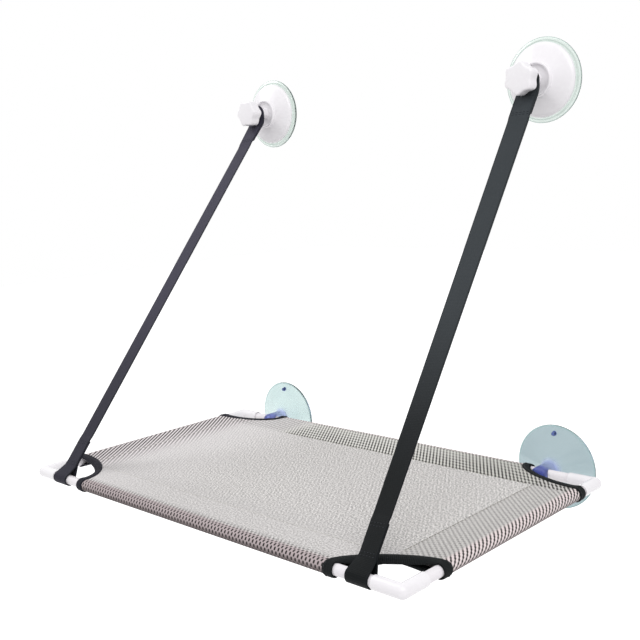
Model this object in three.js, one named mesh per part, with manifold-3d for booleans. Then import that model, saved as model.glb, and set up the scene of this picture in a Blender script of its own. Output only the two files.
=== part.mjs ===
// Cat window bed: a tube frame with a mesh sling, carried by two suction cups at its rear
// tube and hung by two webbing straps from two screw-down suction anchors higher up.
// Millimetres. The window glass is the plane y = 0 and the room lies towards -Y. X runs
// along the bed, Z is up. The origin is on the glass, midway between the lower cups and
// level with the rear tube. A depth is a distance from the glass into the room.

import * as THREE from 'three';
import { mergeVertices } from 'three/addons/utils/BufferGeometryUtils.js';
import Module from 'manifold-3d';

const wasm = await Module();
wasm.setup();

// Driving sizes of the whole bed
const bedWidth = 560; // between the axes of the side tubes
const bedDepth = 328; // between the axes of the front and rear tubes
const rearTubeDepth = 30; // rear tube axis to the glass
const anchorHeight = 428; // upper anchors above the rear tube
const anchorOffset = 210; // upper anchors to the middle of the bed

// Gap between pieces that touch, and overrun of every cut
const gap = 0.3;
const overrun = 2;

// Tubes and elbows
const tubeRadius = 5.5;
const tubeWall = 0.8;
const elbowWall = 1.0;
const elbowArm = 30; // corner to the mouth of a socket
const socketDepth = 20;
const mouthChamfer = 0.5;

// Sling: one mesh sheet, folded round each tube and sewn down as a hem
const clothThickness = 1.0;
const hemDepth = 42; // tube axis to the hem seam, at the front and the sides
const rearHemDepth = 58;
const panelSag = 5;

// Corner cut-outs of the sling and the binding tape round their mouths
const cutLength = 77; // corner to the free edge of the tape, along X
const frontCutDepth = 49; // corner to the free edge of the tape, along Y
const rearCutDepth = 34;
const tapeWidth = 9.7;
const tapeThickness = 2.2;

// Straps
const strapWidth = 25;
const strapThickness = 1.5;
const strapFootGap = 2.5; // elbow mouth to the strap's loop
const loopReach = 16; // tube axis to the point where the loop closes
const footFold = 34; // length of the doubled strap above the loop
const headFold = 34; // length of the doubled strap below the bend
const tabDrop = 12; // anchor axis to the bend below it
const tabRise = 12.5; // anchor axis to the top of the tab
const tabCorner = 6;

// Eyelet pressed through the strap's tab
const eyeletFlange = 8.0;
const eyeletSheet = 0.6;
const eyeletBarrelWall = 0.8;

// Upper cup
const upperCupRadius = 45;
const cupEdge = 1.3; // thickness at the very rim
const lipWidth = 6; // flat lip that lies on the glass
const upperDish = 5.4; // hollow under the middle of the cup
const seatDepth = 3.0; // depth of the ledge that the shell presses on
const cupBossRadius = 10.5;
const headCover = 1.9; // membrane under the head of the stud

// Stud moulded into the upper cup
const studRadius = 4.0;
const studHeadRadius = 8.5;
const studHeadThickness = 2.2;
const studTipRoom = 2.0; // stud tip to the end of the knob's bore
const studChamfer = 1.0;

// Anchor shell
const shellRadius = 39.5;
const shellWall = 2.2;
const shellRimHeight = 1.7;
const ringRadius = 18.6;
const ringDepth = 19.2; // glass to the crest of the ring
const ringWidth = 2.7;
const ringChamfer = 0.9;
const ringHeight = 4.2; // foot of the ring to its crest
const wellDepth = 2.7; // crest of the ring to the floor inside it
const hubFloor = 2.5; // thickness of that floor
const hubRadius = 7.0;
const hubHeight = 12.2; // floor to the top of the hub

// Knob
const knobRadius = 17;
const fluteDepth = 2.6;
const knobLength = 14.6;
const knobEdge = 2.4;
const knobCap = 2.7; // knob face to the end of the bore
const knobHubRadius = 9;
const knobHubLength = 4;
const lobeCount = 6;

// Nut moulded into the knob
const nutFlats = 13;
const nutLength = 6.5;
const nutInset = 1.0; // back of the lobed body to the nut

// Lower cup
const lowerCupRadius = 48.5;
const lowerDish = 6.4;
const neckRadius = 9.5;
const neckStart = 17; // depth where the neck begins
const neckBeyond = 10.5; // tube axis to the end of the neck
const neckGap = 5.0; // tape of the sling to the neck
const neckRound = 2.5;
const shoulderInset = 2.4; // rim to the shoulder behind it
const shoulderDepth = 2.3;
const pipRadius = 2.2;
const pipDepth = 8.2; // glass to the end of the pip
const pipInset = 9.0; // rim to the pip

// Curves of the turned forms: shares of the way in radius and in depth from a curve's
// first point to its last
const hollowShares = [
  [0, 0],
  [0.37, 0.15],
  [0.71, 0.56],
  [1, 1],
];
const cupBackShares = [
  [0, 0],
  [0.42, 0.35],
  [0.88, 0.72],
  [1, 1],
];
const shellTopShares = [
  [0, 0],
  [0.13, 0.26],
  [0.49, 0.57],
  [0.82, 0.85],
  [1, 1],
];
const shellUnderShares = [
  [0, 0],
  [0.28, 0.3],
  [0.61, 0.61],
  [1, 1],
];
const neckFlareShares = [
  [0, 0],
  [0.3, 0.2],
  [0.65, 0.49],
  [0.89, 0.745],
  [1, 1],
];

// Rounding and welding shares
const roundMiddleShare = 0.3; // of a round, what it leaves off at its middle
const weldShare = 0.001; // of the gap, within which corners are one point

// Facets
const tubeSegments = 20;
const turnSegments = 24;
const smallSegments = 16;
const knobSegments = 36;
const knobBevelSteps = 2;
const nutSides = 6;
const pipSegments = 8;
const hollowSteps = 5;
const cupBackSteps = 5;
const shellTopSteps = 7;
const shellUnderSteps = 5;
const neckFlareSteps = 7;
const panelColumns = 14;
const panelRows = 10;
const arcRings = 9;
const cutSegments = 4 * arcRings;
const wrapRings = 6;

// Places that follow from the sizes
const halfWidth = bedWidth / 2;
const halfDepth = bedDepth / 2;
const bedCentreY = -(rearTubeDepth + halfDepth);
const frontTubeDepth = rearTubeDepth + bedDepth;
const elbowRadius = tubeRadius + gap + elbowWall;
const sleeveInner = tubeRadius + gap;
const sleeveOuter = sleeveInner + clothThickness;
const lowerCupOffset = halfWidth - cutLength + neckGap + neckRadius;
const strapFootX = halfWidth - elbowArm - strapFootGap - strapWidth / 2;
const studBore = studRadius + gap;

// Depths up the stack of an upper anchor, from the glass to the knob's face
const headBottom = upperDish + headCover + gap;
const headTop = headBottom + studHeadThickness;
const hubFloorTop = ringDepth - wellDepth;
const hubFloorBottom = hubFloorTop - hubFloor;
const cupBossTop = hubFloorBottom - gap;
const hubTop = hubFloorTop + hubHeight;
const backFlange = hubTop + gap;
const tabBack = backFlange + eyeletSheet + gap;
const tabThickness = 2 * strapThickness;
const tabFront = tabBack + tabThickness;
const frontFlange = tabFront + gap;
const knobHubBack = frontFlange + eyeletSheet + gap;
const knobBack = knobHubBack + knobHubLength;
const knobFace = knobBack + knobLength;
const boreEnd = knobFace - knobCap;
const studTip = boreEnd - studTipRoom;
const tabMiddle = (tabBack + tabFront) / 2;
const eyeletHole = studBore + eyeletBarrelWall + gap;

function finish(hex, roughness, metalness, opacity = 1) {
  return new THREE.MeshStandardMaterial({
    color: hex,
    roughness,
    metalness,
    opacity,
    transparent: opacity < 1,
  });
}

const whiteCoat = finish(0xf1eef1, 0.35, 0);
const whitePlastic = finish(0xefedf0, 0.28, 0);
const meshCloth = finish(0xcdcac6, 0.85, 0);
const tapeBlack = finish(0x26292a, 0.8, 0);
const webbingBlack = finish(0x383c45, 0.55, 0);
const clearGreen = finish(0xc8dcd4, 0.15, 0, 0.5);
const clearTeal = finish(0xbfd6d6, 0.15, 0, 0.5);
const steel = finish(0xb9babc, 0.3, 0.9);
const brass = finish(0xb99a55, 0.35, 0.9);

const bed = new THREE.Group();

function place(name, geometry, material, x = 0) {
  const mesh = new THREE.Mesh(geometry, material);
  mesh.name = name;
  mesh.position.x = x;
  bed.add(mesh);
}

// Merges shared vertices, drops collapsed triangles and turns the faces outwards
function welded(geometry) {
  const bare = geometry.clone();
  bare.deleteAttribute('normal');
  bare.deleteAttribute('uv');
  const merged = mergeVertices(bare, gap * weldShare);
  const position = merged.getAttribute('position');
  const index = merged.getIndex().array;
  const corners = [0, 1, 2].map(() => new THREE.Vector3());
  const kept = [];
  let volume = 0;
  for (let i = 0; i < index.length; i += 3) {
    const triangle = [index[i], index[i + 1], index[i + 2]];
    if (new Set(triangle).size < 3) continue;
    kept.push(triangle);
    corners.forEach((corner, k) => corner.fromBufferAttribute(position, triangle[k]));
    volume += corners[0].dot(corners[1].clone().cross(corners[2]));
  }
  const outward = kept.map((t) => (volume < 0 ? [t[0], t[2], t[1]] : t));
  merged.setIndex(outward.flat());
  return merged;
}

function toSolid(geometry) {
  const closed = welded(geometry);
  const vertProperties = new Float32Array(closed.getAttribute('position').array);
  const triVerts = new Uint32Array(closed.getIndex().array);
  return new wasm.Manifold(new wasm.Mesh({ numProp: 3, vertProperties, triVerts }));
}

function toGeometry(solid) {
  const mesh = solid.getMesh();
  const geometry = new THREE.BufferGeometry();
  const position = new THREE.BufferAttribute(new Float32Array(mesh.vertProperties), 3);
  geometry.setAttribute('position', position);
  geometry.setIndex(Array.from(mesh.triVerts));
  return geometry;
}

// A turned piece about the Y axis, from pairs of radius and depth
function turned(profile, segments) {
  const points = profile.map(([radius, depth]) => new THREE.Vector2(radius, -depth));
  return welded(new THREE.LatheGeometry(points, segments));
}

// A smooth run of radius and depth pairs from one pair to another, shaped by its shares
function smoothRun(from, to, shares, steps) {
  const points = shares.map(
    ([radiusShare, depthShare]) =>
      new THREE.Vector2(
        THREE.MathUtils.lerp(from[0], to[0], radiusShare),
        THREE.MathUtils.lerp(from[1], to[1], depthShare),
      ),
  );
  const curve = new THREE.SplineCurve(points);
  return curve.getPoints(steps).map((point) => [point.x, point.y]);
}

// A round bar from one point to another
function bar(radius, from, to, segments) {
  const axis = new THREE.Vector3().subVectors(to, from);
  const geometry = new THREE.CylinderGeometry(radius, radius, axis.length(), segments);
  const turn = new THREE.Quaternion().setFromUnitVectors(
    new THREE.Vector3(0, 1, 0),
    axis.clone().normalize(),
  );
  geometry.applyQuaternion(turn);
  const middle = new THREE.Vector3().addVectors(from, to).multiplyScalar(0.5);
  geometry.translate(middle.x, middle.y, middle.z);
  return geometry;
}

function alongY(radius, fromDepth, toDepth, x, z, segments) {
  const from = new THREE.Vector3(x, -fromDepth, z);
  return bar(radius, from, new THREE.Vector3(x, -toDepth, z), segments);
}

// Tubes: thin-walled steel, each end pushed to the bottom of an elbow's socket

function tubeGeometry(length) {
  const ring = new THREE.Shape();
  ring.absarc(0, 0, tubeRadius, 0, 2 * Math.PI);
  const bore = new THREE.Path();
  bore.absarc(0, 0, tubeRadius - tubeWall, 0, 2 * Math.PI);
  ring.holes.push(bore);
  const settings = { depth: length, curveSegments: tubeSegments / 2, bevelEnabled: false };
  return welded(new THREE.ExtrudeGeometry(ring, settings)).translate(0, 0, -length / 2);
}

function buildTubes() {
  const setback = 2 * (elbowArm - socketDepth + gap);
  const long = tubeGeometry(bedWidth - setback).rotateY(Math.PI / 2);
  const short = tubeGeometry(bedDepth - setback).rotateX(Math.PI / 2);
  place('front_tube', long.clone().translate(0, -frontTubeDepth, 0), whiteCoat);
  place('rear_tube', long.clone().translate(0, -rearTubeDepth, 0), whiteCoat);
  place('left_tube', short.clone().translate(-halfWidth, bedCentreY, 0), whiteCoat);
  place('right_tube', short.clone().translate(halfWidth, bedCentreY, 0), whiteCoat);
}

// Elbows: moulded right angles with a ball corner, a socket in each arm and a
// chamfered mouth

function elbowArmSolids(corner, inward) {
  const at = (distance) => corner.clone().addScaledVector(inward, distance);
  const straightEnd = elbowArm - mouthChamfer;
  const arm = toSolid(bar(elbowRadius, at(0), at(straightEnd), tubeSegments));
  const tip = new THREE.CylinderGeometry(
    elbowRadius - mouthChamfer,
    elbowRadius,
    mouthChamfer,
    tubeSegments,
  );
  tip.applyQuaternion(
    new THREE.Quaternion().setFromUnitVectors(new THREE.Vector3(0, 1, 0), inward),
  );
  const tipMiddle = at(straightEnd + mouthChamfer / 2);
  tip.translate(tipMiddle.x, tipMiddle.y, tipMiddle.z);
  const socketBottom = at(elbowArm - socketDepth);
  const socket = toSolid(bar(sleeveInner, socketBottom, at(elbowArm + overrun), tubeSegments));
  return { arm: arm.add(toSolid(tip)), socket };
}

function buildElbow(name, sideX, sideY) {
  const corner = new THREE.Vector3(sideX * halfWidth, bedCentreY + sideY * halfDepth, 0);
  const alongWidth = elbowArmSolids(corner, new THREE.Vector3(-sideX, 0, 0));
  const alongDepth = elbowArmSolids(corner, new THREE.Vector3(0, -sideY, 0));
  const ball = new THREE.SphereGeometry(elbowRadius, tubeSegments, tubeSegments / 2);
  ball.rotateX(Math.PI / 2);
  ball.translate(corner.x, corner.y, corner.z);
  const body = alongWidth.arm.add(alongDepth.arm).add(toSolid(ball));
  const open = body.subtract(alongWidth.socket).subtract(alongDepth.socket);
  place(name, toGeometry(open), whitePlastic);
}

// Sling: a sheet with a slight sag inside its hems, and a sleeve along each tube whose
// under layer slopes up from the tube to the hem seam

function panelSolid() {
  const sheet = new THREE.BoxGeometry(
    bedWidth,
    bedDepth,
    clothThickness,
    panelColumns,
    panelRows,
    1,
  );
  const position = sheet.getAttribute('position');
  for (let i = 0; i < position.count; i += 1) {
    const u = Math.min(1, Math.abs(position.getX(i)) / (halfWidth - hemDepth));
    const hem = position.getY(i) > 0 ? rearHemDepth : hemDepth;
    const v = Math.min(1, Math.abs(position.getY(i)) / (halfDepth - hem));
    const dip = panelSag * (1 - u * u) * (1 - v * v);
    position.setZ(i, position.getZ(i) - dip);
  }
  sheet.translate(0, bedCentreY, sleeveOuter - clothThickness / 2);
  return toSolid(sheet);
}

function sleeveSection(hem) {
  const seamReach = Math.hypot(hem, sleeveInner);
  const seamAngle = Math.atan2(sleeveInner, hem);
  const leaveAngle = seamAngle - Math.acos(sleeveOuter / seamReach);
  const slope = Math.PI / 2 + leaveAngle;
  const innerEnd = hem - clothThickness / Math.sin(slope);
  const outer = new THREE.Shape();
  outer.moveTo(hem, sleeveOuter);
  outer.lineTo(0, sleeveOuter);
  outer.absarc(0, 0, sleeveOuter, Math.PI / 2, 2 * Math.PI + leaveAngle, false);
  outer.lineTo(hem, sleeveInner);
  outer.closePath();
  const hollow = new THREE.Path();
  hollow.moveTo(innerEnd, sleeveInner);
  hollow.lineTo(0, sleeveInner);
  hollow.absarc(0, 0, sleeveInner, Math.PI / 2, 2 * Math.PI + leaveAngle, false);
  hollow.closePath();
  outer.holes.push(hollow);
  return outer;
}

function sleeveSolid(inward, reach, length, hem) {
  const settings = { depth: length, curveSegments: tubeSegments / 4, bevelEnabled: false };
  const sleeve = new THREE.ExtrudeGeometry(sleeveSection(hem), settings);
  sleeve.translate(0, 0, -length / 2);
  const up = new THREE.Vector3(0, 0, 1);
  const along = new THREE.Vector3().crossVectors(inward, up);
  sleeve.applyMatrix4(new THREE.Matrix4().makeBasis(inward, up, along));
  const middle = inward.clone().multiplyScalar(-reach);
  sleeve.translate(middle.x, bedCentreY + middle.y, 0);
  return toSolid(sleeve);
}

// The cut-out of one corner: a quarter of this oval lies inside the bed
function cutSolid(sideX, sideY) {
  const edge = tapeWidth + gap;
  const oval = new THREE.Shape();
  const depth = sideY > 0 ? rearCutDepth : frontCutDepth;
  oval.absellipse(0, 0, cutLength + edge, depth + edge, 0, 2 * Math.PI);
  const height = 2 * (sleeveOuter + panelSag + overrun);
  const settings = { depth: height, curveSegments: cutSegments / 2, bevelEnabled: false };
  const prism = new THREE.ExtrudeGeometry(oval, settings);
  prism.translate(sideX * halfWidth, bedCentreY + sideY * halfDepth, -height / 2);
  return toSolid(prism);
}

function buildSling() {
  const sides = [
    [new THREE.Vector3(0, 1, 0), halfDepth, bedWidth, hemDepth],
    [new THREE.Vector3(0, -1, 0), halfDepth, bedWidth - 2 * hemDepth, rearHemDepth],
    [new THREE.Vector3(1, 0, 0), halfWidth, bedDepth, hemDepth],
    [new THREE.Vector3(-1, 0, 0), halfWidth, bedDepth, hemDepth],
  ];
  let sling = panelSolid();
  for (const [inward, reach, length, hem] of sides) {
    sling = sling.add(sleeveSolid(inward, reach, length, hem));
  }
  for (const sideX of [-1, 1]) {
    for (const sideY of [-1, 1]) {
      sling = sling.subtract(cutSolid(sideX, sideY));
    }
  }
  place('mesh_sling', toGeometry(sling), meshCloth);
}

// Corner bindings: one loop of folded tape round the mouth of each cut-out. It follows
// the upper layer from one tube to the other, goes round the outside of that tube, comes
// back along the under layer and closes round the outside of the first tube. Outside the
// tubes its edges run on along the straight facets of the cut-out.

const tapeOutlineShares = [
  [0, 0],
  [0.12, 1],
  [0.88, 1],
  [1, 0],
  [0.88, -1],
  [0.12, -1],
];

function tapeLoop(cutDepth, hem) {
  const middle = sleeveInner + tapeThickness / 2;
  const oval = (turn, across) => ({
    p: (cutLength + tapeWidth * across) * Math.cos(turn),
    q: (cutDepth + tapeWidth * across) * Math.sin(turn),
  });
  const step = Math.PI / 2 / arcRings;
  const highest = middle - tapeThickness - gap;
  const underHeight = (p, q) => {
    const share = Math.max(0, Math.min(p / hemDepth, q / hem));
    return Math.min(highest, middle * (2 * share - 1));
  };
  const stations = [];
  for (let i = 0; i < arcRings; i += 1) {
    const turn = step * i;
    stations.push((across, lift) => ({ ...oval(turn, across), z: middle + lift }));
  }
  for (let i = 0; i < wrapRings; i += 1) {
    const turn = (Math.PI * i) / wrapRings;
    stations.push((across, lift) => {
      const outside = (middle + lift) * Math.sin(turn);
      const next = oval(Math.PI / 2 - step, across);
      const q = THREE.MathUtils.lerp(oval(Math.PI / 2, across).q, next.q, outside / next.p);
      return { p: -outside, q, z: (middle + lift) * Math.cos(turn) };
    });
  }
  for (let i = 0; i < arcRings; i += 1) {
    const turn = step * (arcRings - i);
    stations.push((across, lift) => {
      const spot = oval(turn, across);
      return { ...spot, z: underHeight(spot.p, spot.q) - lift };
    });
  }
  for (let i = 0; i < wrapRings; i += 1) {
    const turn = Math.PI * (1 - i / wrapRings);
    stations.push((across, lift) => {
      const outside = (middle + lift) * Math.sin(turn);
      const next = oval(step, across);
      const p = THREE.MathUtils.lerp(oval(0, across).p, next.p, outside / next.q);
      return { p, q: -outside, z: (middle + lift) * Math.cos(turn) };
    });
  }
  return stations;
}

function buildBinding(name, sideX, sideY) {
  const depth = sideY > 0 ? rearCutDepth : frontCutDepth;
  const stations = tapeLoop(depth, sideY > 0 ? rearHemDepth : hemDepth);
  const sides = tapeOutlineShares.length;
  const points = [];
  for (const station of stations) {
    for (const [across, lift] of tapeOutlineShares) {
      const spot = station(across, (lift * tapeThickness) / 2);
      const x = sideX * (halfWidth - spot.p);
      const y = bedCentreY + sideY * (halfDepth - spot.q);
      points.push(x, y, spot.z);
    }
  }
  const index = [];
  for (let i = 0; i < stations.length; i += 1) {
    const next = (i + 1) % stations.length;
    for (let k = 0; k < sides; k += 1) {
      const beside = (k + 1) % sides;
      const a = i * sides + k;
      const b = i * sides + beside;
      const c = next * sides + beside;
      const d = next * sides + k;
      index.push(a, b, c, a, c, d);
    }
  }
  const loop = new THREE.BufferGeometry();
  loop.setAttribute('position', new THREE.Float32BufferAttribute(points, 3));
  loop.setIndex(index);
  place(name, welded(loop), tapeBlack);
}

// Straps: webbing whose foot is sewn into a loop round the front tube, and whose head
// is doubled into a tab with an eyelet

function strapRunSolid(side) {
  const bend = new THREE.Vector2(-tabMiddle, anchorHeight - tabDrop);
  const foot = new THREE.Vector2(-frontTubeDepth, 0);
  const length = bend.distanceTo(foot);
  const half = strapThickness / 2;
  const loopInner = tubeRadius + gap;
  const loopOuter = loopInner + strapThickness;
  const flare = Math.acos(loopOuter / Math.hypot(loopReach, strapThickness));
  const leave = flare + Math.atan2(strapThickness, loopReach);
  const apex = loopReach - strapThickness;
  const innerLeave = Math.acos(loopInner / apex);

  const run = new THREE.Shape();
  run.moveTo(loopReach, strapThickness);
  run.lineTo(loopReach + footFold, strapThickness);
  run.lineTo(loopReach + footFold + half, half);
  run.lineTo(length - headFold - half, half);
  run.lineTo(length - headFold, strapThickness);
  run.lineTo(length, strapThickness);
  run.lineTo(length, -strapThickness);
  run.lineTo(length - headFold, -strapThickness);
  run.lineTo(length - headFold - half, -half);
  run.lineTo(loopReach + footFold + half, -half);
  run.lineTo(loopReach + footFold, -strapThickness);
  run.lineTo(loopReach, -strapThickness);
  run.absarc(0, 0, loopOuter, -leave, -2 * Math.PI + leave, true);
  run.closePath();
  const eye = new THREE.Path();
  eye.absarc(0, 0, loopInner, innerLeave, 2 * Math.PI - innerLeave, false);
  eye.lineTo(apex, 0);
  eye.closePath();
  run.holes.push(eye);

  const settings = { depth: strapWidth, curveSegments: tubeSegments / 4, bevelEnabled: false };
  const strip = new THREE.ExtrudeGeometry(run, settings);
  strip.translate(0, 0, -strapWidth / 2);
  const rise = new THREE.Vector2().subVectors(bend, foot).normalize();
  const along = new THREE.Vector3(0, rise.x, rise.y);
  const normal = new THREE.Vector3(0, -rise.y, rise.x);
  const across = new THREE.Vector3().crossVectors(along, normal);
  strip.applyMatrix4(new THREE.Matrix4().makeBasis(along, normal, across));
  strip.translate(0, foot.x, foot.y);
  const position = strip.getAttribute('position');
  for (let i = 0; i < position.count; i += 1) {
    const share = THREE.MathUtils.clamp(position.getZ(i) / bend.y, 0, 1);
    const middle = THREE.MathUtils.lerp(strapFootX, anchorOffset, share);
    position.setX(i, position.getX(i) + side * middle);
  }
  return toSolid(strip);
}

function strapTabSolid(side) {
  const half = strapWidth / 2;
  const bottom = -tabDrop;
  const tab = new THREE.Shape();
  tab.moveTo(-half, bottom);
  tab.lineTo(half, bottom);
  tab.lineTo(half, tabRise - tabCorner);
  tab.quadraticCurveTo(half, tabRise, half - tabCorner, tabRise);
  tab.lineTo(tabCorner - half, tabRise);
  tab.quadraticCurveTo(-half, tabRise, -half, tabRise - tabCorner);
  tab.closePath();
  const hole = new THREE.Path();
  hole.absarc(0, 0, eyeletHole, 0, 2 * Math.PI);
  tab.holes.push(hole);
  const settings = { depth: tabThickness, curveSegments: smallSegments / 2, bevelEnabled: false };
  const plate = new THREE.ExtrudeGeometry(tab, settings);
  plate.rotateX(Math.PI / 2);
  plate.translate(side * anchorOffset, -tabBack, anchorHeight);
  return toSolid(plate);
}

// The bend between tab and run, a short round roll of the doubled webbing
function strapBendSolid(side) {
  const x = side * anchorOffset;
  const z = anchorHeight - tabDrop;
  const from = new THREE.Vector3(x - strapWidth / 2, -tabMiddle, z);
  const to = new THREE.Vector3(x + strapWidth / 2, -tabMiddle, z);
  return toSolid(bar(strapThickness, from, to, smallSegments));
}

function buildStrap(name, side) {
  const joined = strapRunSolid(side).add(strapTabSolid(side)).add(strapBendSolid(side));
  place(name, toGeometry(joined), webbingBlack);
}

function eyeletGeometry() {
  const hole = studBore;
  const barrel = hole + eyeletBarrelWall;
  const backFace = backFlange;
  const frontFace = frontFlange + eyeletSheet;
  return turned(
    [
      [hole, backFace],
      [eyeletFlange, backFace],
      [eyeletFlange, backFace + eyeletSheet],
      [barrel, backFace + eyeletSheet],
      [barrel, frontFlange],
      [eyeletFlange, frontFlange],
      [eyeletFlange, frontFace],
      [hole, frontFace],
      [hole, backFace],
    ],
    smallSegments,
  );
}

// Upper anchors. The cup's membrane is dished under the middle, carries the shell on a
// ledge near its rim and holds the head of the stud in its boss.

function upperCupGeometry() {
  const lipInner = upperCupRadius - lipWidth;
  const ledgeOuter = shellRadius + cupEdge;
  const ledgeInner = shellRadius - shellWall - gap;
  const hollow = smoothRun([0, upperDish], [lipInner, 0], hollowShares, hollowSteps);
  const ledge = [ledgeInner, seatDepth];
  const back = smoothRun(ledge, [cupBossRadius, headTop], cupBackShares, cupBackSteps);
  const profile = [
    ...hollow,
    [upperCupRadius, 0],
    [upperCupRadius, cupEdge],
    [ledgeOuter, seatDepth],
    ...back,
    [cupBossRadius, cupBossTop],
    [studBore, cupBossTop],
    [studBore, headTop + gap],
    [studHeadRadius + gap, headTop + gap],
    [studHeadRadius + gap, headBottom - gap],
    [0, headBottom - gap],
  ];
  return turned(profile, turnSegments);
}

function studGeometry() {
  return turned(
    [
      [0, headBottom],
      [studHeadRadius, headBottom],
      [studHeadRadius, headTop],
      [studRadius, headTop],
      [studRadius, studTip - studChamfer],
      [studRadius - studChamfer, studTip],
      [0, studTip],
    ],
    smallSegments,
  );
}

// Shell: a flared cap with a raised ring, a sunk floor inside it and a hub on the floor

function shellGeometry() {
  const rimBottom = seatDepth + gap;
  const rimTop = rimBottom + shellRimHeight;
  const ringFoot = [ringRadius, ringDepth - ringHeight];
  const flare = smoothRun([shellRadius, rimTop], ringFoot, shellTopShares, shellTopSteps);
  const underRing = [cupBossRadius + shellWall, hubFloorBottom];
  const underRim = [shellRadius - shellWall, rimTop];
  const underside = smoothRun(underRing, underRim, shellUnderShares, shellUnderSteps);
  const ringInner = ringRadius - ringWidth;
  const profile = [
    ...flare,
    [ringRadius, ringDepth - ringChamfer],
    [ringRadius - ringChamfer, ringDepth],
    [ringInner + ringChamfer, ringDepth],
    [ringInner, ringDepth - ringChamfer],
    [ringInner, hubFloorTop],
    [hubRadius, hubFloorTop],
    [hubRadius, hubTop],
    [studBore, hubTop],
    [studBore, hubFloorBottom],
    ...underside,
    [shellRadius - shellWall, rimBottom],
    [shellRadius, rimBottom],
    [shellRadius, rimTop],
  ];
  return turned(profile, turnSegments);
}

// Knob: six lobes with scalloped flutes between them, a hub at the back that presses on
// the eyelet, a blind bore for the stud and a pocket for the moulded-in nut

function lobedOutline() {
  const outline = new THREE.Shape();
  const mean = knobRadius - fluteDepth / 2;
  for (let i = 0; i < knobSegments; i += 1) {
    const turn = (2 * Math.PI * i) / knobSegments;
    const radius = mean + (fluteDepth / 2) * Math.cos(lobeCount * turn);
    const point = new THREE.Vector2(Math.cos(turn), Math.sin(turn)).multiplyScalar(radius);
    if (i === 0) outline.moveTo(point.x, point.y);
    else outline.lineTo(point.x, point.y);
  }
  outline.closePath();
  return outline;
}

function hexPrism(flats, fromDepth, toDepth) {
  const prism = new THREE.CylinderGeometry(
    flats / Math.sqrt(3),
    flats / Math.sqrt(3),
    toDepth - fromDepth,
    nutSides,
  );
  prism.translate(0, -(fromDepth + toDepth) / 2, 0);
  return toSolid(prism);
}

function knobGeometry() {
  const body = new THREE.ExtrudeGeometry(lobedOutline(), {
    depth: knobLength - 2 * knobEdge,
    bevelEnabled: true,
    bevelThickness: knobEdge,
    bevelSize: knobEdge,
    bevelOffset: -knobEdge,
    bevelSegments: knobBevelSteps,
  });
  body.rotateX(Math.PI / 2);
  body.translate(0, -(knobBack + knobEdge), 0);
  const inside = knobBack + knobEdge;
  const hub = toSolid(alongY(knobHubRadius, knobHubBack, inside, 0, 0, smallSegments));
  const bore = toSolid(alongY(studBore, knobHubBack - overrun, boreEnd, 0, 0, smallSegments));
  const nutBack = knobBack + nutInset;
  const pocket = hexPrism(nutFlats + 2 * gap, nutBack - gap, nutBack + nutLength + gap);
  return toGeometry(toSolid(body).add(hub).subtract(bore).subtract(pocket));
}

function nutGeometry() {
  const nutBack = knobBack + nutInset;
  const nut = hexPrism(nutFlats, nutBack, nutBack + nutLength);
  const hole = alongY(studBore, nutBack - overrun, nutBack + nutLength + overrun, 0, 0, smallSegments);
  return toGeometry(nut.subtract(toSolid(hole)));
}

function buildAnchor(side, word) {
  const x = side * anchorOffset;
  const pieces = [
    ['upper_cup_', upperCupGeometry(), clearGreen],
    ['anchor_stud_', studGeometry(), steel],
    ['anchor_shell_', shellGeometry(), whitePlastic],
    ['strap_eyelet_', eyeletGeometry(), steel],
    ['knob_', knobGeometry(), whitePlastic],
    ['knob_nut_', nutGeometry(), brass],
  ];
  for (const [stem, geometry, material] of pieces) {
    place(stem + word, geometry.translate(0, 0, anchorHeight), material, x);
  }
}

// Lower cups: a wide dished cup with a thick neck that is bored across for the rear tube,
// and a small pull pip near the top of the rim

function lowerCupSolid() {
  const lipInner = lowerCupRadius - lipWidth;
  const neckEnd = rearTubeDepth + neckBeyond;
  const hollow = smoothRun([0, lowerDish], [lipInner, 0], hollowShares, hollowSteps);
  const shoulder = [lowerCupRadius - shoulderInset, shoulderDepth];
  const back = smoothRun(shoulder, [neckRadius, neckStart], neckFlareShares, neckFlareSteps);
  const neckCut = neckRound * roundMiddleShare;
  const profile = [
    ...hollow,
    [lowerCupRadius, 0],
    [lowerCupRadius, cupEdge],
    ...back,
    [neckRadius, neckEnd - neckRound],
    [neckRadius - neckCut, neckEnd - neckCut],
    [neckRadius - neckRound, neckEnd],
    [0, neckEnd],
  ];
  const cup = toSolid(turned(profile, turnSegments));
  const reach = neckRadius + overrun;
  const from = new THREE.Vector3(-reach, -rearTubeDepth, 0);
  const to = new THREE.Vector3(reach, -rearTubeDepth, 0);
  const bore = toSolid(bar(tubeRadius + gap, from, to, tubeSegments));
  const pipZ = lowerCupRadius - pipInset;
  const pip = toSolid(alongY(pipRadius, cupEdge, pipDepth, 0, pipZ, pipSegments));
  return cup.add(pip).subtract(bore);
}

buildTubes();
for (const [sideX, wordX] of [[-1, 'left'], [1, 'right']]) {
  for (const [sideY, wordY] of [[-1, 'front'], [1, 'rear']]) {
    buildElbow(`elbow_${wordY}_${wordX}`, sideX, sideY);
  }
}
buildSling();
for (const [sideX, wordX] of [[-1, 'left'], [1, 'right']]) {
  for (const [sideY, wordY] of [[-1, 'front'], [1, 'rear']]) {
    buildBinding(`corner_binding_${wordY}_${wordX}`, sideX, sideY);
  }
}
for (const [side, word] of [[-1, 'left'], [1, 'right']]) {
  buildStrap(`strap_${word}`, side);
  buildAnchor(side, word);
  place(`lower_cup_${word}`, toGeometry(lowerCupSolid()), clearTeal, side * lowerCupOffset);
}

export default bed;
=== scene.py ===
import math

import bmesh
import bpy
from mathutils import Matrix, Vector


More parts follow.
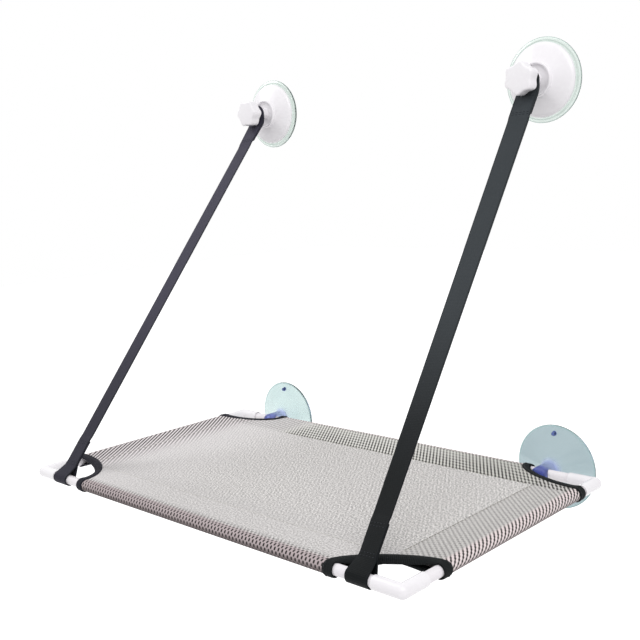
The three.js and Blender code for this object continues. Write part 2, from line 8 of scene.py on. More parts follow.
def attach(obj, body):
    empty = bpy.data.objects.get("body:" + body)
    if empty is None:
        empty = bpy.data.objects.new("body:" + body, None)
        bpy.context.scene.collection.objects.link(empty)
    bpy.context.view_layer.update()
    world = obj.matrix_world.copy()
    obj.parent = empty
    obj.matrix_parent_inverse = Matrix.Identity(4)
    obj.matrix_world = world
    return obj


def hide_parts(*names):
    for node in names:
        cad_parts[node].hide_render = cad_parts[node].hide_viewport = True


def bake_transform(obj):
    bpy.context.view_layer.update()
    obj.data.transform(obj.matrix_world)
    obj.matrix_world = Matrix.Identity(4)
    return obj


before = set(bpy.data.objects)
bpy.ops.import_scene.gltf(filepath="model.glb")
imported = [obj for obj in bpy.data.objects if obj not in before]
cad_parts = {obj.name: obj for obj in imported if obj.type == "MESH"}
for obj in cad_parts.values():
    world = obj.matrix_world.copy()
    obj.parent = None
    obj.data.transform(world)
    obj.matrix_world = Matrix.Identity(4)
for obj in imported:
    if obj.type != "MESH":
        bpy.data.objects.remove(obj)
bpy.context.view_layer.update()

# Frame tubes. Four lengths of 11 mm steel tube with a white powder coat, cut square and
# pushed to the bottom of the sockets of the corner elbows.

bed_width, bed_depth = 0.560, 0.328
rear_axis = -0.030
front_axis = rear_axis - bed_depth
bed_middle = (front_axis + rear_axis) / 2
half_width, half_depth = bed_width / 2, bed_depth / 2
tube_radius, tube_wall, tube_ease = 0.0055, 0.0008, 0.0002
tube_setback = 0.0103  # corner to the end of a tube
sides = {"left": -1, "right": 1}
full_turn = 2 * math.pi


class Look:
    """A socket in a material. Sums and products of looks become Math nodes."""

    def __init__(self, tree, socket=None):
        self.tree, self.socket = tree, socket

    def node(self, kind, settings, sockets, output=0):
        made = self.tree.nodes.new("ShaderNode" + kind)
        for name, value in settings.items():
            setattr(made, name, value)
        for name, value in sockets.items():
            if isinstance(value, Look):
                self.tree.links.new(value.socket, made.inputs[name])
            else:
                made.inputs[name].default_value = value
        return Look(self.tree, made.outputs[output] if made.outputs else None)

    def beside(self, output):
        return Look(self.tree, self.socket.node.outputs[output])

    def maths(self, operation, first, second=0.0):
        return self.node("Math", {"operation": operation}, {0: first, 1: second})

    def __add__(self, other):
        return self.maths("ADD", self, other)

    def __sub__(self, other):
        return self.maths("SUBTRACT", self, other)

    def __rsub__(self, other):
        return self.maths("SUBTRACT", other, self)

    def __mul__(self, other):
        return self.maths("MULTIPLY", self, other)

    __radd__ = __add__
    __rmul__ = __mul__


def dye(red, green, blue):
    """A colour as it is read off a picture, from 0 to 255"""
    shares = (value / 255 for value in (red, green, blue))
    return (*(s / 12.92 if s < 0.04045 else ((s + 0.055) / 1.055) ** 2.4 for s in shares), 1)


def new_material(name):
    material = bpy.data.materials.new(name)
    material.use_nodes = True
    material.node_tree.nodes.clear()
    return material, Look(material.node_tree)


def mixed(share, first, second):
    return share.node("Mix", {"data_type": "RGBA"}, {0: share, 6: first, 7: second}, 2)


def from_to(look, low, high):
    """Turns smoothly from 0 at low to 1 at high"""
    limits = {"Value": look, "From Min": low, "From Max": high}
    return look.node("MapRange", {"interpolation_type": "SMOOTHSTEP"}, limits)


def object_place(look):
    return look.node("TexCoord", {}, {}, "Object")


def grain(place, scale, detail):
    return place.node("TexNoise", {}, {"Vector": place, "Scale": scale, "Detail": detail})


def bumps(height, strength, depth):
    return height.node("Bump", {}, {"Strength": strength, "Distance": depth, "Height": height})


def skinned(look, skin):
    """Ends a material with the shader that has this skin"""
    look.node("OutputMaterial", {}, {"Surface": look.node("BsdfPrincipled", {}, skin)})


def white_finish(name, pale, dull, fineness, relief, roughness, coat):
    """A white skin: a slow drift of tone, a fine grain and the soft peel of paint or mould"""
    material, look = new_material(name)
    place = object_place(look)
    drift, fine = grain(place, 18, 3), grain(place, fineness, 4)
    tone = from_to(drift * 0.7 + fine * 0.3, 0.36, 0.68)
    skin = {
        "Base Color": mixed(tone, dye(*dull), dye(*pale)),
        "Roughness": roughness + 0.12 * drift,
        "Coat Weight": coat,
        "Coat Roughness": 0.12,
        "Normal": bumps(fine, relief, 0.0002),
    }
    skinned(look, skin)
    return material


def turned(profile, closed=False, steps=64):
    """Spins pairs of radius and depth about the Y axis, as on a lathe"""
    work = bmesh.new()
    points = [work.verts.new((radius, -depth, 0)) for radius, depth in profile]
    edges = [work.edges.new(pair) for pair in zip(points, points[1:])]
    if closed:
        edges.append(work.edges.new((points[-1], points[0])))
    bmesh.ops.spin(
        work,
        geom=points + edges,
        cent=(0, 0, 0),
        axis=(0, 1, 0),
        angle=full_turn,
        steps=steps,
        use_merge=True,
    )
    bmesh.ops.remove_doubles(work, verts=work.verts, dist=0.000002)
    bmesh.ops.recalc_face_normals(work, faces=work.faces)
    return work


def moved(work, matrix):
    bmesh.ops.transform(work, matrix=matrix, verts=work.verts)
    return work


def eased(work, width, corner=30, segments=3):
    """Rounds every edge that turns by more than the corner angle"""
    sharp = [
        edge
        for edge in work.edges
        if len(edge.link_faces) == 2 and edge.calc_face_angle() > math.radians(corner)
    ]
    bmesh.ops.bevel(
        work,
        geom=sharp,
        offset=width,
        affect="EDGES",
        segments=segments,
        profile=0.5,
        material=-1,
        clamp_overlap=True,
    )
    return work


def finished(name, work, material, crease=32):
    """Makes a piece of the work, smooth but for its creases"""
    mesh = bpy.data.meshes.new(name)
    work.to_mesh(mesh)
    work.free()
    mesh.materials.append(material)
    mesh.shade_smooth()
    mesh.set_sharp_from_angle(angle=math.radians(crease))
    piece = bpy.data.objects.new(name, mesh)
    bpy.context.scene.collection.objects.link(piece)
    return piece


powder_coat = white_finish(
    "powder_coat", (244, 240, 243), (233, 229, 234), 700, 0.25, 0.26, 0.15
)
quarter_turn = Matrix.Rotation(math.pi / 2, 4, "Z")


def frame_tube(name, length, turn, middle):
    half = length / 2
    bore = tube_radius - tube_wall
    ring = [(tube_radius, -half), (tube_radius, half), (bore, half), (bore, -half)]
    work = eased(turned(ring, closed=True), tube_ease, segments=2)
    work = moved(work, Matrix.Translation(middle) @ turn)
    piece = finished("steel_" + name, work, powder_coat)
    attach(piece, "bed")
    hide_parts(name)


long_tube, short_tube = bed_width - 2 * tube_setback, bed_depth - 2 * tube_setback
frame_tube("front_tube", long_tube, quarter_turn, (0, front_axis, 0))
frame_tube("rear_tube", long_tube, quarter_turn, (0, rear_axis, 0))
for word, side in sides.items():
    middle = (side * half_width, bed_middle, 0)
    frame_tube(f"{word}_tube", short_tube, Matrix.Identity(4), middle)

# Corner elbows. Right angles moulded in white plastic, each with a ball for its outer
# corner, a sharp crotch inside and a deep socket with a chamfered mouth in either arm.

elbow_radius, elbow_arm = 0.0068, 0.030
socket_radius, socket_bottom = 0.0058, 0.010
mouth_chamfer = 0.0005
ball_rings = 10

moulded_white = white_finish(
    "moulded_white", (246, 244, 247), (240, 237, 241), 420, 0.12, 0.2, 0.35
)


def elbow_arms():
    """One arm along X is cut at the mitre, and its copy turned along Y"""
    outline = [
        (0, socket_bottom),
        (socket_radius, socket_bottom),
        (socket_radius, elbow_arm - mouth_chamfer),
        (socket_radius + mouth_chamfer / 2, elbow_arm),
        (elbow_radius - mouth_chamfer, elbow_arm),
        (elbow_radius, elbow_arm - mouth_chamfer),
    ]
    outline += [(elbow_radius, elbow_arm - 0.0012 - 0.0041 * step) for step in range(8)]
    outline += [(elbow_radius, -elbow_radius * step / ball_rings) for step in range(ball_rings + 1)]
    work = moved(turned(outline), quarter_turn)
    bmesh.ops.bisect_plane(
        work,
        geom=work.verts[:] + work.edges[:] + work.faces[:],
        plane_co=(0, 0, 0),
        plane_no=(-1, 1, 0),
        clear_outer=True,
        dist=0.000001,
    )
    for vert in work.verts:
        if vert.co.x < 0:
            vert.co = vert.co.normalized() * elbow_radius
    other = bmesh.ops.duplicate(work, geom=work.verts[:] + work.edges[:] + work.faces[:])
    swapped = [item for item in other["geom"] if isinstance(item, bmesh.types.BMVert)]
    swap = Matrix(((0, 1, 0, 0), (1, 0, 0, 0), (0, 0, 1, 0), (0, 0, 0, 1)))
    bmesh.ops.transform(work, matrix=swap, verts=swapped)
    bmesh.ops.remove_doubles(work, verts=work.verts, dist=0.00002)
    return work


for across, side in sides.items():
    for along, way in {"front": -1, "rear": 1}.items():
        corner = Matrix.Translation((side * half_width, bed_middle + way * half_depth, 0))
        work = moved(elbow_arms(), corner @ Matrix.Diagonal((-side, -way, 1, 1)))
        bmesh.ops.recalc_face_normals(work, faces=work.faces)
        elbow = finished(f"moulded_elbow_{along}_{across}", work, moulded_white)
        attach(elbow, "bed")
        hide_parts(f"elbow_{along}_{across}")

# Mesh sling. One sheet of knitted polyester mesh, cut with its corners off, stretched
# over the frame and folded round each tube, where its edge is sewn down as a deep hem.

cloth_thickness = 0.0009
cloth_radius = 0.0063  # middle of the cloth to the axis of a tube
hem, rear_hem = 0.042, 0.058  # tube axis to the seam, at the front and sides and at the rear
under_height = 0.0054
panel_sag = 0.005
panel_step = 0.0042
pucker_reach, pucker_pitch, pucker_lift, pucker_wave = 0.005, 0.0093, 0.00022, 0.00016
# For each corner: how far the mouth reaches along X and Y to the inner edge of its tape, and
# how full its curve is, as the cloth is pulled more at some corners than at others
mouths = {
    (-1, -1): (0.0830, 0.0490, 1.9),
    (1, -1): (0.0730, 0.0490, 1.35),
    (-1, 1): (0.0790, 0.0340, 2.3),
    (1, 1): (0.0770, 0.0340, 1.6),
}
tape_width, lap_share = 0.0097, 0.6  # the cloth's edge lies this far under the tape


def spaced(first, last, count):
    return [first + (last - first) * step / count for step in range(count)]


def cut_cloth(columns, rows):
    """A flat sheet with its rows and columns at the given places, which are its UV map too"""
    work = bmesh.new()
    bmesh.ops.create_grid(
        work, x_segments=len(columns) - 1, y_segments=len(rows) - 1, size=1
    )
    flat = work.loops.layers.uv.new("flat")
    for vert in work.verts:
        column = round((vert.co.x + 1) / 2 * (len(columns) - 1))
        row = round((vert.co.y + 1) / 2 * (len(rows) - 1))
        vert.co = (columns[column], rows[row], 0)
    for face in work.faces:
        for loop in face.loops:
            loop[flat].uv = loop.vert.co.xy
    return work


def hem_runs(reach):
    """The turn of a hem round its tube, the length of that and of the under layer"""
    span = math.hypot(reach, under_height)
    lean = math.atan2(under_height, reach) - math.acos(cloth_radius / span)
    turn = 1.5 * math.pi + lean
    return turn, cloth_radius * turn, math.sqrt(span**2 - cloth_radius**2)


def hem_path(run, reach):
    """Inward reach from the tube and height, at a distance past the top of the tube"""
    whole_turn, wrap, under = hem_runs(reach)
    turn, beyond = min(run / cloth_radius, whole_turn), max(0, run - wrap)
    inward = -cloth_radius * math.sin(turn) - beyond * math.cos(turn)
    return inward, cloth_radius * math.cos(turn) - beyond * math.sin(turn)


def folded(u, v):
    """Where a place on the flat sheet lies once it is on the frame. The panel sags, and the
    cloth puckers along its seams"""
    x, y, height = u, v, cloth_radius
    hem_here = rear_hem if v > 0 else hem
    if abs(u) > half_width:
        reach, height = hem_path(abs(u) - half_width, hem)
        x = math.copysign(half_width - reach, u)
    elif abs(v) > half_depth:
        reach, height = hem_path(abs(v) - half_depth, hem_here)
        y = math.copysign(half_depth - reach, v)
    else:
        side_seam, seam = half_width - hem, half_depth - hem_here
        from_side, from_front = min(1, abs(u) / side_seam), min(1, abs(v) / seam)
        height -= panel_sag * (1 - from_side**2) * (1 - from_front**2)
        for distance, along in ((abs(u) - side_seam, v), (abs(v) - seam, u)):
            pucker = math.exp(-((distance / pucker_reach) ** 2))
            swell = math.sin(along * full_turn / pucker_pitch)
            height += pucker * (pucker_lift + pucker_wave * swell)
    return x, y, height


def hem_lines(half, reach):
    """Lines across one hem, from the edge of its under layer to its seam"""
    turn, wrap, under = hem_runs(reach)
    lines = spaced(-half - wrap - under, -half - wrap, 10) + spaced(-half - wrap, -half, 14)
    return lines + spaced(-half, reach - half, 10)


def sling_lines(half, near, far):
    first, last = hem_lines(half, near), hem_lines(half, far)
    start, end = near - half, half - far
    panel = spaced(start, end, round((end - start) / panel_step))
    return first + panel + [end] + [-line for line in reversed(last)]


work = cut_cloth(sling_lines(half_width, hem, hem), sling_lines(half_depth, hem, rear_hem))
gone = []
for face in work.faces:
    u, v = face.calc_center_median().xy
    x, y, height = folded(u, v)
    reach_x, reach_y = half_width - abs(x), half_depth - abs(y)
    length, depth, full = mouths[1 if u > 0 else -1, 1 if v > 0 else -1]
    share_x = max(0, reach_x) / (length + lap_share * tape_width)
    share_y = max(0, reach_y) / (depth + lap_share * tape_width)
    if share_x**full + share_y**full < 1 or (abs(v) > half_depth and reach_x < hem):
        gone.append(face)
bmesh.ops.delete(work, geom=gone, context="FACES")
cut_area = sum(face.calc_area() for face in work.faces)
for vert in work.verts:
    x, y, height = folded(vert.co.x, vert.co.y)
    vert.co = (x, y + bed_middle, height)

hole_across, hole_along = 0.0050, 0.0074  # spacing of the holes, with one between each four
rear_across, rear_along, rear_rows = 0.0047, 0.0067, 0.0084
left_across, left_along, gather_pitch = 0.00585, 0.0079, 0.0072


def apart(place):
    """The X of a place, beside which are its Y and Z"""
    return place.node("SeparateXYZ", {}, {0: place})


def extreme(operation, first, *others):
    """The least or the greatest of some looks"""
    for other in others:
        first = first.maths(operation, first, other)
    return first


def wave(phase):
    return phase.maths("COSINE", phase)


knit_mesh, look = new_material("knit_mesh")
flat = look.node("UVMap", {"uv_map": "flat"}, {})
u = apart(flat)
v = u.beside(1)
fuzz, fleck, cloudy = grain(flat, 1500, 3), grain(flat, 560, 2), grain(flat, 28, 2)
# How far in from each tube a place on the cloth lies
left, right, front, rear = u + half_width, half_width - u, v + half_depth, half_depth - v
roll = 1 - from_to(extreme("MINIMUM", left, right, front, rear), -0.001, 0.005)
# Painted shade on the cloth under the front roll and under the right roll
shade_under_front_roll = 1 - from_to(front, -0.012, -0.007)
shade_under_right_roll = 1 - from_to(right, -0.013, -0.009)
on_left, on_right, on_front, on_rear = (
    1 - from_to(reach, seam - 0.0006, seam + 0.0006)
    for reach, seam in ((left, hem), (right, hem), (front, hem), (rear, rear_hem))
)
on_rear = on_rear * from_to(u, -0.158, -0.116)  # it ends beside the rear left mouth
left_band = 1 - from_to(left, 0.034, 0.084)
doubled = extreme("MAXIMUM", on_left, on_right, on_front, on_rear)
flat_part = 1 - roll
# Rows of holes, drawn wider apart on the side hems. On the right one the cloth is drawn
# askew, so that its holes close up to slanting lines
drawn_left, drawn_right = (
    extreme("MINIMUM", extreme("MAXIMUM", 0.045 - reach, 0), 0.041) for reach in (left, right)
)
pick = (u + drawn_left * 0.265 - drawn_right * 0.265) * (full_turn / hole_across)
course = v * (full_turn / hole_along) * (1 + on_right * 0.21)
slant, counter = wave(pick + course), wave(pick - course)
askew = 0.5 + flat_part * on_right * 0.1 + roll * on_right * 0.2
lattice = counter + askew * (slant - counter)
# The rear hem and the left one are pulled longer, which sets their holes further apart
rear_slant = wave(u * (full_turn / rear_across) + v * (full_turn / rear_along))
pulled_rear = 0.66 * rear_slant + 0.34 * wave(v * (full_turn / rear_rows))
left_pick, left_course = u * (full_turn / left_across), v * (full_turn / left_along)
pulled_left = 0.75 * wave(left_pick + left_course) + 0.25 * wave(left_pick - left_course)
lattice = lattice + on_rear * flat_part * 0.72 * (pulled_rear - lattice)
lattice = lattice + left_band * flat_part * (pulled_left - lattice)
hole = from_to(lattice + 0.3 * fuzz + 0.12 * on_rear + 0.16 * left_band, 0.12, 0.55)
# Short gathers below the rear left mouth, where the tape pulls the cloth together, drawn as stripes
# of painted shade in their folds
gather_fold_shade = from_to(wave(u * (full_turn / gather_pitch) + fuzz), 0.1, 0.9)
gather_fold_shade = gather_fold_shade * (1 - from_to(rear, 0.046, 0.064)) * flat_part
gather_fold_shade = gather_fold_shade * from_to(u, -0.244, -0.236) * (1 - from_to(u, -0.150, -0.138))
# The holes are painted dark: a painted shade of the under layer and of the inside of the rolls seen
# through them, darkest where the under layer lies close below
painted_hole_shades = (
    roll,
    left_band * (1 - 0.25 * from_to(left, 0.02, hem)),
    on_right * (0.55 - 0.15 * from_to(right, 0.0, hem)),
    on_front * (0.95 - 0.9 * from_to(front, 0.001, 0.012)),
    on_rear * (0.75 + 0.25 * from_to(rear, 0.008, 0.04)),
)
thread = mixed(from_to(fleck, 0.4, 0.6), dye(146, 143, 142), dye(244, 241, 239))
for share, tint in (
    (cloudy * 0.4, (206, 203, 201)),
    ((1 - from_to(left, 0.05, 0.24)) * 0.45, (238, 234, 235)),
    ((1 - from_to(front, 0.03, 0.1)) * 0.4, (190, 187, 187)),
    (on_rear * 0.8, (226, 225, 219)),
    (on_rear * from_to(u, 0.0, 0.2) * 0.5, (176, 175, 168)),
    (left_band * 0.8, (232, 224, 226)),
    (on_right * 0.7, (196, 193, 191)),
    (roll * 0.85, (236, 222, 222)),
    # Painted shade: the front roll is darker, and the cloth under the front and right rolls is
    # darker still
    (roll * on_front * 0.85, (170, 157, 159)),
    (shade_under_front_roll * 0.85 + shade_under_right_roll * 0.5, (104, 93, 93)),
):
    thread = mixed(share, thread, dye(*tint))
# The colour of the painted shade in the holes, deepest in the rolls
painted_gap_shade = mixed(roll, dye(54, 51, 49), dye(38, 31, 31))
thread = mixed(hole * extreme("MAXIMUM", *painted_hole_shades), thread, painted_gap_shade)
weave = {
    # The base colour takes the painted shade in the folds of the gathers
    "Base Color": mixed(gather_fold_shade * 0.55, thread, dye(92, 89, 88)),
    "Roughness": 0.82,
    "Alpha": 1 - hole * 0.2 * (1 - doubled),
    "Normal": bumps(fuzz * 0.5 - lattice, 0.2, 0.0004),
}
skinned(look, weave)

sling = finished("knitted_sling", work, knit_mesh, 60)
thicken = sling.modifiers.new("cloth", "SOLIDIFY")
thicken.thickness, thicken.offset = cloth_thickness, 0
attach(sling, "bed")
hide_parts("mesh_sling")

# Hem seams. A lockstitch in polyester thread, grey or pale, holds the under layer of each
# hem, with the same row of stitches showing above and below the cloth.

stitch_pitch, stitch_length = 0.0040, 0.0031
stitch_width, stitch_height = 0.0004, 0.00032
seam_inset, stitch_lift = 0.0012, 0.0001


def sewn(name, stitches, material, body):
    """Rows of stitches: each is a place, the way it runs and the way it faces"""
    work = bmesh.new()
    for place, along, facing in stitches:
        turn = Matrix((along, facing.cross(along), facing)).transposed().to_4x4()
        size = Matrix.Diagonal((stitch_length / 2, stitch_width, stitch_height, 1))
        bmesh.ops.create_uvsphere(
            work,
            u_segments=6,
            v_segments=4,
            radius=1,
            matrix=Matrix.Translation(place) @ turn @ size,
        )
    piece = finished(name, work, material, 80)
    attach(piece, body)
    return piece


def thread_finish(name, pale, dark):
    """Twisted sewing thread, its strands paler on their backs"""
    material, look = new_material(name)
    strands = grain(object_place(look), 2600, 2)
    skin = {
        "Base Color": mixed(from_to(strands, 0.35, 0.65), dye(*dark), dye(*pale)),
        "Roughness": 0.6,
        "Normal": bumps(strands, 0.5, 0.0002),
        "Specular IOR Level": 0.2,
    }
    skinned(look, skin)
    return material


grey_thread = thread_finish("grey_thread", (146, 146, 132), (98, 99, 87))
pale_thread = thread_finish("pale_thread", (214, 212, 206), (188, 186, 180))
up, across, lengthwise = Vector((0, 0, 1)), Vector((1, 0, 0)), Vector((0, 1, 0))
above = cloth_thickness / 2 + stitch_lift  # middle of the cloth to the stitches


def seam_rows(runs_along, line, steps):
    """Stitches at a line's place on the cloth, above and below it"""
    rows, way = [], lengthwise if runs_along else across
    for step in steps:
        u, v = (line, step * stitch_pitch) if runs_along else (step * stitch_pitch, line)
        top = folded(u, v)[2] + above
        rows.append((Vector((u, v + bed_middle, top)), way, up))
        rows.append((Vector((u, v + bed_middle, under_height - above)), way, -up))
    return rows


# Grey thread at the rear and on the right, pale thread in front and on the left, each row
# from one mouth of the sling to the next
grey_rows = seam_rows(0, half_depth - rear_hem + seam_inset, range(-33, 58))
grey_rows += seam_rows(1, half_width - hem + seam_inset, range(-27, 31))
pale_rows = seam_rows(0, -half_depth + hem - seam_inset, range(-54, 55))
pale_rows += seam_rows(1, hem - seam_inset - half_width, range(-27, 31))
grey_stitches = sewn("grey_hem_stitches", grey_rows, grey_thread, "bed")
pale_stitches = sewn("pale_hem_stitches", pale_rows, pale_thread, "bed")
hem_cloth, rear_hem_cloth = sum(hem_runs(hem)[1:]), sum(hem_runs(rear_hem)[1:])
bed_width + 2 * hem_cloth
bed_depth + hem_cloth + rear_hem_cloth

# Corner bindings. Black woven tape, folded over the cut edge of each mouth and sewn
# through: over the hem, round one tube, back below and round the other tube.

tape_thickness, tape_tip = 0.0022, 0.0045
tape_height = 0.0069  # middle of the tape to the axis of a tube
tape_under = 0.0044  # the highest that the lower run comes
tape_steps, tape_sides, ring_section = 48, 20, 0.3  # the ring's own radius is 1
lap_length, tape_girth = 0.082, 0.0036  # mean quarter of the loop, and girth per radian
rib_pitch, cord_pitch = 0.0011, 0.0009
tape_squareness, tape_fill = 0.55, 0.35  # the fill keeps the width up on flatter curves
leg_stitches = (26, 7, 26, 7)  # over the hem, round one tube, back below, round the other
stitch_line, stitch_level = 0.8, 1.12  # shares of the tape's width and of half its thickness

woven_tape, look = new_material("woven_tape")
flat = look.node("UVMap", {"uv_map": "along"}, {})
along = apart(flat)
ribs = look.maths("SINE", along * (full_turn / rib_pitch))
cords = look.maths("SINE", along.beside(1) * (full_turn / cord_pitch))
weave = ribs * 0.5 + cords * 0.25 + grain(flat, 900, 3)
colour = mixed(from_to(weave, 0.0, 1.1), dye(17, 19, 20), dye(36, 39, 40))
violet = 1 - from_to(apart(object_place(look)), -0.15, 0.1)  # the left tapes lean to violet
skin = {
    "Base Color": mixed(violet * 0.7, colour, dye(44, 43, 53)),
    "Roughness": 0.72,
    "Normal": bumps(weave, 0.5, 0.0003),
    "Specular IOR Level": 0.1,
}
skinned(look, skin)


def tape_place(side, way, lap, over, lift):
    """Inward reaches along X and Y and the height, from the lap of the loop, the share of
    the tape's width and the lift off its middle"""
    leg, share = int(lap) % 4, lap - int(lap)
    turn = math.pi / 2 * (share if leg == 0 else 1 - share)
    length, depth, full = mouths[side, way]
    wide = tape_width * over * (1 + max(0, 2 - full) * tape_fill * abs(math.sin(2 * turn)))
    length, depth = length + wide, depth + wide
    round_tube = tape_height + lift
    if leg in (0, 2):
        reach_x = length * abs(math.cos(turn)) ** (2 / full)
        reach_y = depth * abs(math.sin(turn)) ** (2 / full)
        if leg == 0:
            # Between the tubes the tape tips over the edge of the cloth
            tipped = tape_tip * max(0, 1 - 2 * over) ** 2 * math.sin(2 * turn)
            return reach_x, reach_y, round_tube - tipped
        inside = min(reach_x / hem, reach_y / (rear_hem if way > 0 else hem))
        rise = tape_height * (2 * max(0, inside) - 1)
        return reach_x, reach_y, min(tape_under, rise) - lift
    swing = math.pi * (share if leg == 1 else 1 - share)
    outside, height = -round_tube * math.sin(swing), round_tube * math.cos(swing)
    if leg == 1:
        return outside, depth * math.sqrt(1 - (outside / length) ** 2), height
    return length * math.sqrt(1 - (outside / depth) ** 2), outside, height


def ring_turns(spot):
    """Turns round the ring's axis and round its section"""
    lap, girth = math.atan2(spot.y, spot.x), math.atan2(spot.z, math.hypot(spot.x, spot.y) - 1)
    return lap % full_turn, girth % full_turn


def bound_mouth(side, way):
    """A ring of the tape's section, spun and then laid round the mouth of a corner"""
    work = bmesh.new()
    upright = Matrix.Translation((1, 0, 0)) @ Matrix.Rotation(math.pi / 2, 4, "X")
    bmesh.ops.create_circle(work, segments=tape_sides, radius=ring_section, matrix=upright)
    bmesh.ops.spin(
        work,
        geom=work.verts[:] + work.edges[:],
        cent=(0, 0, 0),
        axis=(0, 0, 1),
        angle=full_turn,
        steps=4 * tape_steps,
        use_merge=True,
    )
    bmesh.ops.remove_doubles(work, verts=work.verts, dist=0.00001)
    flat = work.loops.layers.uv.new("along")
    for face in work.faces:
        middle = face.calc_center_median()
        for loop in face.loops:
            spot = loop.vert.co
            turns = []
            for turn, here in zip(ring_turns(spot), ring_turns(middle)):
                turns.append(turn + full_turn * round((here - turn) / full_turn))
            loop[flat].uv = (turns[0] * lap_length * 2 / math.pi, turns[1] * tape_girth)
    for vert in work.verts:
        lap, girth = ring_turns(vert.co)
        lap /= math.pi / 2
        over, lift = (
            math.copysign(abs(spoke) ** tape_squareness, spoke)
            for spoke in (math.cos(girth), math.sin(girth))
        )
        reach = tape_place(side, way, lap, 0.5 + over / 2, lift * tape_thickness / 2)
        x = side * (half_width - reach[0])
        vert.co = (x, bed_middle + way * (half_depth - reach[1]), reach[2])
    bmesh.ops.recalc_face_normals(work, faces=work.faces)
    return work


def tape_stitches(side, way):
    """A row of stitches along the tape, near the edge that lies on the cloth"""
    rows = []
    for leg, count in enumerate(leg_stitches):
        for step in range(count):
            lap = leg + (step + 0.5) / count
            spots = []
            for there, raised in ((lap, stitch_level), (lap + 0.01, stitch_level), (lap, 1)):
                reach = tape_place(side, way, there, stitch_line, raised * tape_thickness / 2)
                x = side * (half_width - reach[0])
                spots.append(Vector((x, bed_middle + way * (half_depth - reach[1]), reach[2])))
            along = (spots[1] - spots[0]).normalized()
            facing = spots[0] - spots[2]
            facing = (facing - along * facing.dot(along)).normalized()
            rows.append((spots[0] - facing * stitch_lift, along, facing))
    return rows


black_thread = thread_finish("black_thread", (64, 66, 68), (34, 35, 37))
for across_word, side in sides.items():
    for along_word, way in {"front": -1, "rear": 1}.items():
        corner = f"{along_word}_{across_word}"
        tape = finished("bound_mouth_" + corner, bound_mouth(side, way), woven_tape, 60)
        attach(tape, "bed")
        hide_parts("corner_binding_" + corner)
        rows = tape_stitches(side, way)
        sewn("mouth_stitches_" + corner, rows, black_thread, "bed")

# Lower cups. Soft clear vinyl with a teal cast, 97 mm across, dished behind, with a thick
# neck that is bored for the rear tube and a small pull pip near the top of the rim.

lower_cup_radius, lower_cup_place = 0.0485, 0.2175
lower_lip, lower_dish, cup_edge = 0.0425, 0.0064, 0.0013
shoulder = (0.0461, 0.0023)
neck_radius, neck_start, neck_end, neck_round = 0.0095, 0.017, 0.0405, 0.0025
pip_radius, pip_height, pip_start, pip_end = 0.0022, 0.0395, 0.0008, 0.0082
bore_radius, bore_reach = 0.0058, 0.02
hollow_shares = [(0, 0), (0.37, 0.15), (0.71, 0.56), (1, 1)]
neck_shares = [(0, 0), (0.3, 0.2), (0.65, 0.49), (0.89, 0.745), (1, 1)]


def smooth_run(start, end, shares, steps):
    """Pairs of radius and depth on a smooth curve through the shares of the way"""
    points = [
        Vector((start[0] + (end[0] - start[0]) * a, start[1] + (end[1] - start[1]) * b))
        for a, b in shares
    ]
    run = []
    for step in range(steps + 1):
        place = (len(points) - 1) * step / steps
        i = min(int(place), len(points) - 2)
        t = place - i
        before = points[i - 1] if i else points[0]
        after = points[min(i + 2, len(points) - 1)]
        slope_in, slope_out = (points[i + 1] - before) / 2, (after - points[i]) / 2
        spot = (
            points[i] * (2 * t**3 - 3 * t**2 + 1)
            + slope_in * (t**3 - 2 * t**2 + t)
            + points[i + 1] * (3 * t**2 - 2 * t**3)
            + slope_out * (t**3 - t**2)
        )
        run.append((spot.x, spot.y))
    return run


def settled(piece, crease=32):
    """Applies a piece's modifiers for good"""
    bpy.context.view_layer.update()
    graph = bpy.context.evaluated_depsgraph_get()
    mesh = bpy.data.meshes.new_from_object(piece.evaluated_get(graph))
    piece.modifiers.clear()
    piece.data = mesh
    mesh.set_sharp_from_angle(angle=math.radians(crease))


def worked(piece, tools, operation="DIFFERENCE"):
    """Cuts the tools out of a piece, or joins them to it"""
    for tool in tools:
        cut = piece.modifiers.new("cut", "BOOLEAN")
        cut.object, cut.operation, cut.solver = tool, operation, "EXACT"
    settled(piece)
    for tool in tools:
        bpy.data.objects.remove(tool)


def clear_vinyl(name, thin, thick, marks):
    """Clear vinyl, deeper in colour where the marks say, with faint flow lines"""
    material, look = new_material(name)
    place = object_place(look)
    flow = grain(place, 60, 3)
    colour = mixed(from_to(flow, 0.3, 0.75), dye(*thin), dye(*thick))
    roughness = 0.1 + 0.06 * flow
    for mask, deep, rough in marks(look, place):
        colour = mixed(mask, colour, dye(*deep))
        roughness = roughness + mask * rough
    skin = {
        "Base Color": colour,
        "Roughness": roughness,
        "Transmission Weight": 0.9,
        "IOR": 1.42,
        "Normal": bumps(flow, 0.04, 0.0004),
    }
    skinned(look, skin)
    return material


def neck_and_pip(look, place):
    """Masks for the greyer right cup, the rim, the neck and the pip, with their colours"""
    x = apart(place)
    depth, height = 0 - x.beside(1), x.beside(2)
    neck = from_to(depth, 0.0115, 0.0175)
    beside = look.maths("ABSOLUTE", x) - lower_cup_place
    away = beside * beside + (height - pip_height) * (height - pip_height)
    pip = (1 - from_to(away, 0.0000065, 0.000011)) * from_to(depth, 0.0016, 0.003)
    rim = from_to(look.maths("SQRT", beside * beside + height * height), 0.0455, 0.0475)
    deeper = from_to(x, -0.1, 0.1)  # the right cup is drawn greyer
    return [
        (deeper, (164, 181, 186), 0),
        (rim * 0.7, (150, 178, 178), 0),
        (neck, (142, 153, 214), 0.3),
        (pip, (38, 52, 130), 0),
    ]


teal_vinyl = clear_vinyl("teal_vinyl", (204, 222, 221), (198, 217, 217), neck_and_pip)

